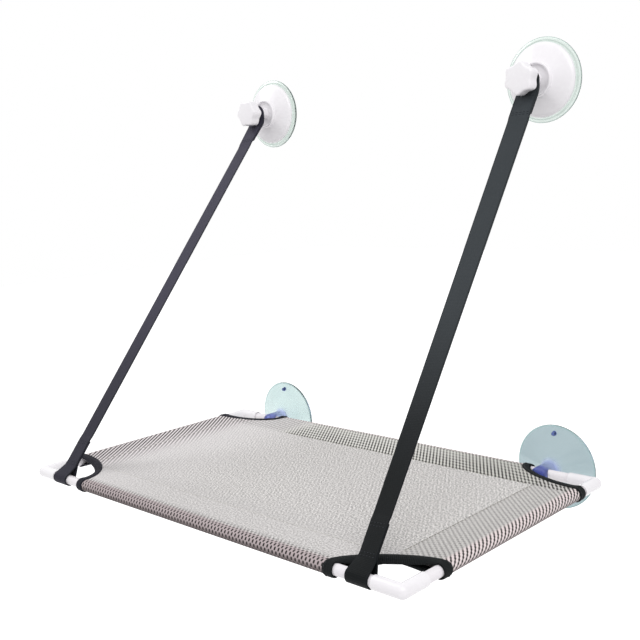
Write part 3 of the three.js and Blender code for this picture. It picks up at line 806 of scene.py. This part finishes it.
for word, side in sides.items():
    rounding = [
        (
            neck_radius - neck_round * (1 - math.cos(turn)),
            neck_end - neck_round * (1 - math.sin(turn)),
        )
        for turn in (math.pi / 2 * step / 6 for step in range(7))
    ]
    profile = [
        *smooth_run((0, lower_dish), (lower_lip, 0), hollow_shares, 18),
        (lower_cup_radius, 0),
        (lower_cup_radius, cup_edge),
        *smooth_run(shoulder, (neck_radius, neck_start), neck_shares, 20),
        *rounding,
        (0, neck_end),
    ]
    work = eased(turned(profile, steps=96), 0.0004, 40, 2)
    cup = finished("vinyl_cup_" + word, work, teal_vinyl)
    pip_profile = [
        (0, pip_start),
        (pip_radius, pip_start),
        (pip_radius, pip_end - 0.0014),
        (pip_radius * 0.86, pip_end - 0.0005),
        (pip_radius * 0.5, pip_end),
        (0, pip_end),
    ]
    work = turned(pip_profile, steps=20)
    bmesh.ops.translate(work, verts=work.verts, vec=(0, 0, pip_height))
    pip = finished("pip", work, teal_vinyl)
    bore_profile = [(0, -bore_reach), (bore_radius, -bore_reach)]
    bore_profile += [(bore_radius, bore_reach), (0, bore_reach)]
    along_tube = Matrix.Translation((0, rear_axis, 0)) @ quarter_turn
    bore = finished("bore", moved(turned(bore_profile, steps=48), along_tube), teal_vinyl)
    worked(cup, [pip], "UNION")
    worked(cup, [bore])
    cup.data.transform(Matrix.Translation((side * lower_cup_place, 0, 0)))
    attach(cup, "glass_side")
    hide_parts("lower_cup_" + word)

# Upper cups. Clear vinyl, faintly green at its edge, 90 mm across: a dished membrane with
# a ledge for the shell, and a boss that holds the head of the stud.

anchor_place, anchor_height = 0.210, 0.428
upper_cup_radius, upper_lip, upper_dish = 0.045, 0.039, 0.0054
ledge_outer, ledge_inner, ledge_depth = 0.0408, 0.0370, 0.0030
boss_radius, boss_top, head_back, head_front = 0.0105, 0.0137, 0.0076, 0.0098
stud_bore, head_radius, fit = 0.0043, 0.0085, 0.0003
back_shares = [(0, 0), (0.42, 0.35), (0.88, 0.72), (1, 1)]


def green_edge(look, place):
    """Masks for the clear band outside the ledge and for the greener lines in it"""
    x = apart(place)
    beside = look.maths("ABSOLUTE", x) - anchor_place
    height = x.beside(2) - anchor_height
    radius = look.maths("SQRT", beside * beside + height * height)
    inner = from_to(radius, 0.0404, 0.0411) * (1 - from_to(radius, 0.0414, 0.0421))
    outer = from_to(radius, 0.0440, 0.0447)
    band = from_to(radius, 0.0408, 0.0425)
    return [
        (band, (232, 242, 237), 0),
        (inner, (196, 211, 204), 0),
        (outer, (164, 186, 180), 0),
    ]


def at_anchor(side, drop=0):
    return Matrix.Translation((side * anchor_place, 0, anchor_height - drop))


green_vinyl = clear_vinyl("green_vinyl", (236, 244, 240), (222, 235, 229), green_edge)

for word, side in sides.items():
    profile = [
        *smooth_run((0, upper_dish), (upper_lip, 0), hollow_shares, 18),
        (upper_cup_radius, 0),
        (upper_cup_radius, cup_edge),
        (ledge_outer, ledge_depth),
        *smooth_run((ledge_inner, ledge_depth), (boss_radius, head_front), back_shares, 20),
        (boss_radius, boss_top),
        (stud_bore, boss_top),
        (stud_bore, head_front + fit),
        (head_radius + fit, head_front + fit),
        (head_radius + fit, head_back - fit),
        (0, head_back - fit),
    ]
    work = moved(eased(turned(profile, steps=96), 0.0003, 40, 2), at_anchor(side))
    cup = finished("clear_cup_" + word, work, green_vinyl)
    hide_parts("upper_cup_" + word)
    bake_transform(cup)

# Studs. Zinc plated steel with a disc head that is moulded into the cup's boss. The
# shank is turned, so its skin has fine rings and a few bright scuffs.

tool_pitch = 0.00045


def plated_metal(name, pale, dark, roughness):
    """Turned and plated metal with fine tool rings about the axis of the anchor"""
    material, look = new_material(name)
    place = object_place(look)
    scuffs = grain(place, 500, 4)
    rings = look.maths("SINE", apart(place).beside(1) * (full_turn / tool_pitch) + scuffs * 2)
    tone = from_to(scuffs + rings * 0.08, 0.3, 0.7)
    skin = {
        "Base Color": mixed(tone, dye(*dark), dye(*pale)),
        "Metallic": 1.0,
        "Roughness": roughness + 0.2 * scuffs,
        "Normal": bumps(rings + scuffs, 0.25, 0.0001),
    }
    skinned(look, skin)
    return material


def refinished(node, material):
    """Gives a part of the CAD model a better material"""
    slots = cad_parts[node].data.materials
    slots.clear()
    slots.append(material)


plated_steel = plated_metal("plated_steel", (206, 207, 210), (160, 161, 166), 0.22)
for word in sides:
    refinished("anchor_stud_" + word, plated_steel)

# Anchor shells. Glossy white plastic, flared over the cup, with a raised ring whose crest
# is rounded, a sunk floor inside it and a hub that the strap's eyelet lies on.

shell_radius, shell_wall, rim_back, rim_front = 0.0395, 0.0022, 0.0033, 0.0050
ring_radius, ring_width, ring_crest, ring_ease = 0.0186, 0.0027, 0.0192, 0.0009
floor_back, floor_front = 0.0140, 0.0165
hub_radius, hub_front = 0.0070, 0.0287
ring_foot, rim_ease = 0.0150, 0.0008
shell_shares = [(0, 0), (0.13, 0.26), (0.49, 0.57), (0.82, 0.85), (1, 1)]
under_shares = [(0, 0), (0.28, 0.3), (0.61, 0.61), (1, 1)]

gloss_white = white_finish(
    "gloss_white", (243, 241, 244), (238, 235, 239), 260, 0.06, 0.24, 0.25
)

for word, side in sides.items():
    ring_inner = ring_radius - ring_width
    profile = [
        (shell_radius, rim_back),
        (shell_radius, rim_front - rim_ease),
        (shell_radius - rim_ease * 0.2, rim_front),
        *smooth_run((shell_radius, rim_front), (ring_radius, ring_foot), shell_shares, 28)[2:],
        (ring_radius, ring_crest - ring_ease),
        (ring_radius - ring_ease * 0.3, ring_crest - ring_ease * 0.3),
        (ring_radius - ring_ease, ring_crest),
        (ring_inner + ring_ease, ring_crest),
        (ring_inner + ring_ease * 0.3, ring_crest - ring_ease * 0.3),
        (ring_inner, ring_crest - ring_ease),
        (ring_inner, floor_front),
        (hub_radius, floor_front),
        (hub_radius, hub_front),
        (stud_bore, hub_front),
        (stud_bore, floor_back),
        *smooth_run(
            (boss_radius + shell_wall, floor_back),
            (shell_radius - shell_wall, rim_front),
            under_shares,
            20,
        ),
        (shell_radius - shell_wall, rim_back),
    ]
    work = eased(turned(profile, closed=True, steps=96), 0.0003, 40, 2)
    shell = finished("flared_shell_" + word, moved(work, at_anchor(side)), gloss_white)
    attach(shell, "glass_side")
    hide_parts("anchor_shell_" + word)

# Straps. Black polypropylene webbing, 25 mm wide. The foot is looped round the front tube
# and sewn, and the head is folded into a doubled tab that hangs on the stud.

strap_half, strap_thickness = 0.0125, 0.0014
layer_offset = 0.00075  # middle of a layer to the middle of the doubled strap
foot_place, loop_radius, loop_reach = 0.235, 0.00655, 0.016
foot_end, head_length, change_length = 0.050, 0.034, 0.008
bend_height, tab_depth, tab_top = 0.416, 0.0314, 0.4390
bend_ease = 0.006  # length of the curve on either side of the bend
front_gap, back_gap = 0.007, 0.008  # from the bend down to the straight layers
eyelet_hole, trim_reach = 0.0054, 0.03
tab_round, tab_round_drop = 0.0126, 0.0015
trim_back, trim_front = 0.025, 0.036
foot_seams = (0.0185, 0.0215, 0.0455, 0.0485)  # rows of stitches, up from the tube's axis
head_seams = (0.0325, 0.0295, 0.008)  # down from the bend
seam_spacing = 0.0044  # between stitches across the webbing
twist_left, twist_right = 6.7, 17  # degrees, as the feet are sewn on askew
foot_hold = 0.056  # a run along the strap from its foot; on the real strap, the part below it moves with the bed
twist_start, twist_rise, twist_end = 0.012, 0.028, 0.08  # shares of the height
loop_steps, change_steps, tab_steps = 32, 4, 8
chevron_width, pick_pitch = 0.0031, 0.0016

strap_foot = Vector((front_axis, 0))
strap_bend = Vector((-tab_depth, bend_height))
strap_rise = (strap_bend - strap_foot).normalized()
strap_out = Vector((-strap_rise.y, strap_rise.x))
strap_length = (strap_bend - strap_foot).length
head_start = strap_length - head_length


def on_run(along, out):
    return strap_foot + strap_rise * along + strap_out * out


def rounded(before, corner, after, steps=8):
    """Points that turn a corner of the strap on a soft curve"""
    spots = []
    for step in range(steps + 1):
        t = step / steps
        spots.append(before * (1 - t) ** 2 + corner * 2 * t * (1 - t) + after * t**2)
    return spots


def strap_path():
    """Depths and heights along the middle of the webbing, from the end of its foot"""
    lean = math.atan2(layer_offset, loop_reach)
    leave = lean + math.acos(loop_radius / math.hypot(loop_reach, layer_offset))
    path = [on_run(along, -layer_offset) for along in spaced(foot_end, loop_reach, 10)]
    for step in range(loop_steps + 1):
        turn = -leave - (full_turn - 2 * leave) * step / loop_steps
        path.append(on_run(loop_radius * math.cos(turn), loop_radius * math.sin(turn)))
    path += [on_run(along, layer_offset) for along in spaced(loop_reach, foot_end, 10)]
    for step in range(change_steps + 1):
        ease = 0.5 + 0.5 * math.cos(math.pi * step / change_steps)
        path.append(on_run(foot_end + change_length * step / change_steps, layer_offset * ease))
    path += [
        on_run(along, 0)
        for along in spaced(foot_end + change_length, head_start - change_length, 84)[1:]
    ]
    for step in range(change_steps + 1):
        ease = 0.5 - 0.5 * math.cos(math.pi * step / change_steps)
        to_head = change_length * (1 - step / change_steps)
        path.append(on_run(head_start - to_head, layer_offset * ease))
    up_run, up_tab = strap_rise * bend_ease, Vector((0, bend_ease))
    front_bend, back_bend = (
        strap_bend + strap_out * out + strap_rise * ((strap_out.x * -out - out) / strap_rise.x)
        for out in (layer_offset, -layer_offset)
    )
    front_layer = spaced(head_start, strap_length - front_gap, 8)[1:]
    path += [on_run(along, layer_offset) for along in front_layer]
    path += rounded(front_bend - up_run, front_bend, front_bend + up_tab)
    front_tab = spaced(front_bend.y + bend_ease, tab_top, 8)[1:]
    path += [Vector((-tab_depth - layer_offset, height)) for height in front_tab]
    for step in range(tab_steps + 1):
        turn = math.pi * (1 - step / tab_steps)
        depth, rise = layer_offset * math.cos(turn), layer_offset * math.sin(turn)
        path.append(Vector((-tab_depth + depth, tab_top + rise)))
    back_tab = spaced(tab_top, back_bend.y + bend_ease, 8)[1:]
    path += [Vector((-tab_depth + layer_offset, height)) for height in back_tab]
    path += rounded(back_bend + up_tab, back_bend, back_bend - up_run)
    back_layer = spaced(strap_length - back_gap, head_start, 8)[1:]
    path += [on_run(along, -layer_offset) for along in back_layer]
    return path


webbing, look = new_material("webbing")
flat = look.node("UVMap", {"uv_map": "flat"}, {})
run = apart(flat)
over = run.beside(1)
crossing = look.maths("ABSOLUTE", look.maths("SINE", over * (math.pi / chevron_width)))
ribs = look.maths("SINE", run * (full_turn / pick_pitch) + crossing * 2.6)
lint, worn = grain(flat, 700, 3), grain(flat, 30, 3)
selvedge = from_to(look.maths("ABSOLUTE", over), strap_half - 0.0017, strap_half - 0.0011)
weave = ribs * 0.4 * (1 - selvedge) + lint * 0.6
colour = mixed(from_to(weave, -0.1, 0.75), dye(5, 7, 8), dye(18, 21, 22))
# The webbing is painted lighter towards its head, a painted sheen, mixed with a little random wear,
# and it is paler and bluer on the left
painted_sheen_and_wear = from_to(run, 0.16, 0.36) * 0.85 + worn * 0.15
on_left_strap = 1 - from_to(apart(object_place(look)), -0.1, 0.1)
painted_sheen_and_wear = painted_sheen_and_wear + on_left_strap * (1 - painted_sheen_and_wear) * 0.55
colour = mixed(painted_sheen_and_wear * 0.8, colour, mixed(on_left_strap, dye(64, 69, 73), dye(70, 68, 83)))
skin = {
    "Base Color": mixed(selvedge * 0.5, colour, dye(23, 26, 29)),
    "Roughness": 0.5 + 0.15 * lint,
    "Normal": bumps(weave, 0.55, 0.0003),
    "Specular IOR Level": 0.08,
}
skinned(look, skin)

strap_points = strap_path()
strap_runs = [0.0]
for before, after in zip(strap_points, strap_points[1:]):
    strap_runs.append(strap_runs[-1] + (after - before).length)
strap_thread = thread_finish("strap_thread", (46, 50, 56), (24, 27, 31))


def strap_across(side, spot):
    """The way across the webbing, which is twisted a little between the tube and the tab"""
    share = min(1, max(0, spot.y / bend_height))
    freed = min(1, max(0, (share - twist_start) / twist_rise)) * min(1, (1 - share) / twist_end)
    twist = math.radians(twist_right * (1 - share) if side > 0 else twist_left) * freed
    out = strap_out * math.sin(twist)
    return Vector((math.cos(twist), out.x, out.y))


def strap_place(side, spot, over):
    """Where a spot of the path lies, at a distance from the middle of the webbing"""
    share = min(1, max(0, spot.y / bend_height))
    middle = foot_place + (anchor_place - foot_place) * share
    return Vector((side * middle, spot.x, spot.y)) + strap_across(side, spot) * over


def cross_stitches(side, seams):
    """Rows of stitches across the strap, on its front and its back"""
    rows = []
    rise = Vector((0, strap_rise.x, strap_rise.y))
    for along in seams:
        way = strap_across(side, on_run(along, 0))
        normal = rise.cross(way)
        for step in range(-2, 3):
            for out in (-1, 1):
                place = strap_place(side, on_run(along, 0), step * seam_spacing)
                place += normal * (out * (layer_offset + strap_thickness / 2 + stitch_lift))
                rows.append((place, way, normal * out))
    return rows


for word, side in sides.items():
    work = cut_cloth(strap_runs, [strap_half * (step / 5 - 1) for step in range(11)])
    for vert in work.verts:
        column = min(range(len(strap_runs)), key=lambda i: abs(strap_runs[i] - vert.co.x))
        vert.co = strap_place(side, strap_points[column], vert.co.y)
    bmesh.ops.recalc_face_normals(work, faces=work.faces)
    strap = finished("webbing_strap_" + word, work, webbing, 50)
    thicken = strap.modifiers.new("webbing", "SOLIDIFY")
    thicken.thickness, thicken.offset = strap_thickness, 0
    settled(strap, 50)
    # The tools that punch the hole and round off the top of the tab
    hole, trim = (
        [(inner, trim_back), (outer, trim_back), (outer, trim_front), (inner, trim_front)]
        for inner, outer in ((0, eyelet_hole), (tab_round, trim_reach))
    )
    hole = moved(turned(hole, steps=40), at_anchor(side))
    trim = moved(turned(trim, closed=True, steps=72), at_anchor(side, tab_round_drop))
    bmesh.ops.bisect_plane(
        trim,
        geom=trim.verts[:] + trim.edges[:] + trim.faces[:],
        plane_co=(0, 0, anchor_height),
        plane_no=(0, 0, -1),
        clear_outer=True,
    )
    open_edges = [edge for edge in trim.edges if edge.is_boundary]
    bmesh.ops.holes_fill(trim, edges=open_edges, sides=0)
    bmesh.ops.recalc_face_normals(trim, faces=trim.faces)
    worked(strap, [finished("hole", hole, webbing), finished("trim", trim, webbing)])
    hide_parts("strap_" + word)
    start, end = on_run(foot_hold, 0), on_run(strap_length * 0.5, 0)
    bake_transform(strap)
    foot_rows = cross_stitches(side, foot_seams)
    sewn("foot_stitches_" + word, foot_rows, strap_thread, "bed")
    head_rows = cross_stitches(side, [strap_length - down for down in head_seams])
    sewn("head_stitches_" + word, head_rows, strap_thread, "glass_side")

# Eyelets. Two-part eyelets of plated steel, pressed through the doubled tab of each strap,
# where they line the hole that hangs on the stud.

for word in sides:
    refinished("strap_eyelet_" + word, plated_steel)

# Knobs. Glossy white plastic with six lobes and scalloped flutes between them, a hub that
# presses on the eyelet, a blind bore for the stud and a pocket for the moulded-in nut.

knob_radius, flute_depth, flute_fullness, lobes = 0.0174, 0.0026, 0.9, 6
knob_hub_radius, knob_hub_back = 0.0090, 0.0341
knob_back, knob_face, knob_ease = 0.0381, 0.0527, 0.0022
lobe_turns = {"left": 0, "right": math.radians(22)}  # as the two knobs stand when tight
hub_overlap = 0.002  # how deep the hub is sunk in the body
bore_start, bore_end = 0.0300, 0.0500
nut_back, nut_front, nut_flats = 0.0391, 0.0456, 0.0130


def lobed_body(lobe_turn):
    """A disc whose rim is drawn in between the lobes, then drawn out to the knob's depth"""
    work = bmesh.new()
    facing = Matrix.Translation((0, -knob_back, 0)) @ Matrix.Rotation(math.pi / 2, 4, "X")
    bmesh.ops.create_circle(work, cap_ends=True, segments=144, radius=knob_radius, matrix=facing)
    for vert in work.verts:
        turn = math.atan2(vert.co.z, vert.co.x)
        drawn_in = (0.5 - 0.5 * math.cos(lobes * (turn - lobe_turn))) ** flute_fullness
        reach = knob_radius - flute_depth * drawn_in
        spoke = Vector((math.cos(turn), 0, math.sin(turn))) * reach
        vert.co.x, vert.co.z = spoke.x, spoke.z
    drawn = bmesh.ops.extrude_face_region(work, geom=work.faces[:])
    front = [item for item in drawn["geom"] if isinstance(item, bmesh.types.BMVert)]
    bmesh.ops.translate(work, verts=front, vec=(0, knob_back - knob_face, 0))
    bmesh.ops.recalc_face_normals(work, faces=work.faces)
    return eased(work, knob_ease, 60, 5)


for word, side in sides.items():
    knob = finished("lobed_knob_" + word, lobed_body(lobe_turns[word]), gloss_white)
    pocket_radius = (nut_flats + 2 * fit) / math.sqrt(3)
    hub, bore, pocket = (
        [(0, back), (radius, back), (radius, front), (0, front)]
        for radius, back, front in (
            (knob_hub_radius, knob_hub_back, knob_back + hub_overlap),
            (stud_bore, bore_start, bore_end),
            (pocket_radius, nut_back - fit, nut_front + fit),
        )
    )
    worked(knob, [finished("hub", eased(turned(hub), 0.0004, 40, 2), gloss_white)], "UNION")
    pocket = moved(turned(pocket, steps=6), Matrix.Rotation(math.pi / 6, 4, "Y"))
    tools = [turned(bore, steps=48), pocket]
    worked(knob, [finished("tool", tool, gloss_white) for tool in tools])
    knob.data.transform(at_anchor(side))
    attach(knob, "knob_" + word)
    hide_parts("knob_" + word)

# Knob nuts. Hexagon nuts of brass, moulded into the knobs. They carry the thread that runs
# on the stud, and are duller than its plating.

turned_brass = plated_metal("turned_brass", (206, 172, 98), (160, 126, 66), 0.3)
for word in sides:
    refinished("knob_nut_" + word, turned_brass)

# Studio. A pale floor well below the bed, a white surround, a large soft lamp above and to
# the right in front, a weak one on the left, and a camera at the photograph's place.

floor_height, floor_half = -0.36, 6
lamp_aim = (0, -0.2, 0.15)


def shown(look):
    """1 on what the camera sees at once, mirrored, or through the clear vinyl"""
    seen = look.node("LightPath", {}, {}, "Is Camera Ray")
    through = seen.beside("Is Transmission Ray") + seen.beside("Is Glossy Ray")
    return look.maths("MINIMUM", seen + through, 1.0)


work = bmesh.new()
floor_place = Matrix.Translation((0, 0, floor_height))
bmesh.ops.create_grid(work, x_segments=1, y_segments=1, size=floor_half, matrix=floor_place)
pale_floor, look = new_material("pale_floor")
mottle = look.node("TexNoise", {}, {"Vector": object_place(look), "Scale": 40})
skin = {
    "Base Color": mixed(mottle, dye(240, 240, 240), dye(244, 244, 244)),
    "Roughness": 0.9,
    "Emission Color": mixed(shown(look), (0, 0, 0, 1), (1, 1, 1, 1)),
    "Emission Strength": 0.55,
}
skinned(look, skin)
finished("floor", work, pale_floor)

world = bpy.data.worlds.new("surround")
bpy.context.scene.world = world
world.use_nodes = True
world.node_tree.nodes.clear()
look = Look(world.node_tree)
strength = 0.7 + 0.3 * shown(look)
sky = look.node("Background", {}, {"Color": (1, 1, 1, 1), "Strength": strength})
look.node("OutputWorld", {}, {"Surface": sky})


def soft_lamp(name, place, size, power):
    lamp = bpy.data.lights.new(name, "AREA")
    lamp.shape, lamp.size, lamp.energy = "DISK", size, power
    holder = bpy.data.objects.new(name, lamp)
    holder.location = place
    towards = Vector(lamp_aim) - Vector(place)
    holder.rotation_euler = towards.to_track_quat("-Z", "Y").to_euler()
    bpy.context.scene.collection.objects.link(holder)


soft_lamp("key_lamp", (1.1, -0.9, 1.5), 1.6, 14.0)
soft_lamp("sheen_lamp", (-1.04, -0.45, 1.2), 0.7, 5.0)

eye = Vector((0.7429, -0.9159, 0.3369))
yaw, pitch, roll_angle = (math.radians(angle) for angle in (44.04, -8.58, -3.13))
forward = Vector(
    (-math.sin(yaw) * math.cos(pitch), math.cos(yaw) * math.cos(pitch), math.sin(pitch))
)
level = Vector((math.cos(yaw), math.sin(yaw), 0))
upward = level.cross(forward)
right = level * math.cos(roll_angle) + upward * math.sin(roll_angle)
top = upward * math.cos(roll_angle) - level * math.sin(roll_angle)
camera = bpy.data.cameras.new("camera")
camera.sensor_width, camera.lens = 36, 52.67
camera.clip_start = 0.01
viewer = bpy.data.objects.new("camera", camera)
aimed = Matrix((right, top, -forward)).transposed().to_4x4()
viewer.matrix_world = Matrix.Translation(eye) @ aimed
bpy.context.scene.collection.objects.link(viewer)
bpy.context.scene.camera = viewer
bpy.context.scene.view_settings.view_transform = "Standard"
